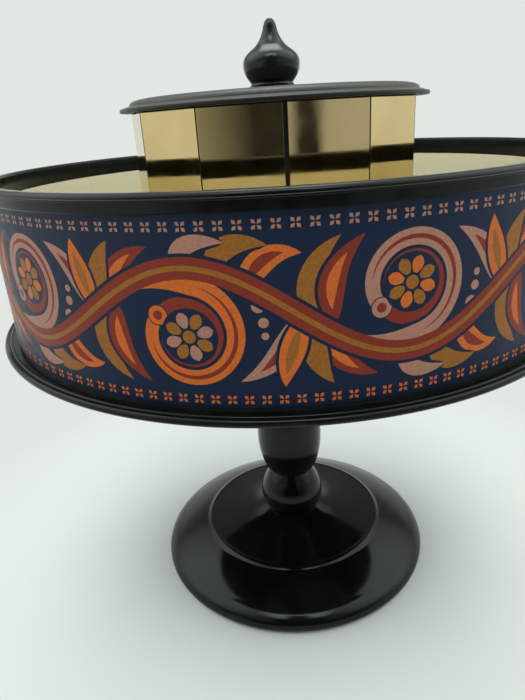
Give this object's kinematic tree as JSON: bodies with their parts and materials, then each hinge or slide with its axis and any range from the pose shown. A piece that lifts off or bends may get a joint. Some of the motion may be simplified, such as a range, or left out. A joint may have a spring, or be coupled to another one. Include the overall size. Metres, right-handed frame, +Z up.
{
  "type": "praxinoscope",
  "caption": "Table praxinoscope: an open drum with a printed wall spins on a turned stand, round a lidded prism of gold mirrors that shows the lift-out picture strip in motion.",
  "frame": {"origin": "on the drum's axis, at the underside of the felt that it stands on", "axes": "+Z up along the drum's axis; -Y towards the viewer in the picture; +X to the viewer's right"},
  "size_m": [0.2268, 0.2268, 0.2367],
  "materials": {
    "gloss_lacquer": "turned wood under high-gloss black lacquer",
    "satin_lacquer": "turned wood under satin black lacquer",
    "black_plastic": "satin black moulding with fine turned beads",
    "core_plastic": "matt black moulding",
    "printed_paper": "satin laminated print in navy, orange, rust, ochre and dusty pink",
    "wall_tin": "thin tinplate lacquered black",
    "strip_card": "plain cream card",
    "gold_mirror": "gold-tinted acrylic mirror",
    "steel": "bright zinc-plated steel",
    "bronze": "turned bearing bronze",
    "felt": "dark green felt"
  },
  "bodies": {
    "stand": {"felt_pad": "felt", "base_foot": "gloss_lacquer", "collar_bead": "gloss_lacquer", "column": "gloss_lacquer", "spindle": "steel", "tie_washer": "steel", "tie_nut": "steel", "thrust_washer": "bronze", "retaining_washer": "steel", "retaining_screw": "steel"},
    "rotor": {"hub": "black_plastic", "lower_bush": "bronze", "upper_bush": "bronze", "hub_screws": "steel", "drum_tray": "black_plastic", "drum_wall": "wall_tin", "printed_wrap": "printed_paper", "rim_ring": "black_plastic", "prism_core": "core_plastic", "core_floor": "core_plastic", "mirror_01": "gold_mirror", "mirror_02": "gold_mirror", "mirror_03": "gold_mirror", "mirror_04": "gold_mirror", "mirror_05": "gold_mirror", "mirror_06": "gold_mirror", "mirror_07": "gold_mirror", "mirror_08": "gold_mirror", "mirror_09": "gold_mirror", "mirror_10": "gold_mirror", "mirror_11": "gold_mirror", "mirror_12": "gold_mirror"},
    "strip": {"picture_strip": "strip_card"},
    "lid": {"lid": "satin_lacquer", "finial": "gloss_lacquer", "finial_washer": "steel", "finial_screw": "steel"}
  },
  "joints": [
    {"name": "drum_spin", "type": "hinge", "parent": "stand", "child": "rotor", "pos_m": [0, 0, 0.15], "axis": [0, 0, 1], "continuous": true},
    {"name": "strip_lift", "type": "slide", "parent": "rotor", "child": "strip", "axis": [0, 0, 1], "range_m": [0, 0.065]},
    {"name": "lid_lift", "type": "slide", "parent": "rotor", "child": "lid", "axis": [0, 0, 1], "range_m": [0, 0.04]}
  ]
}
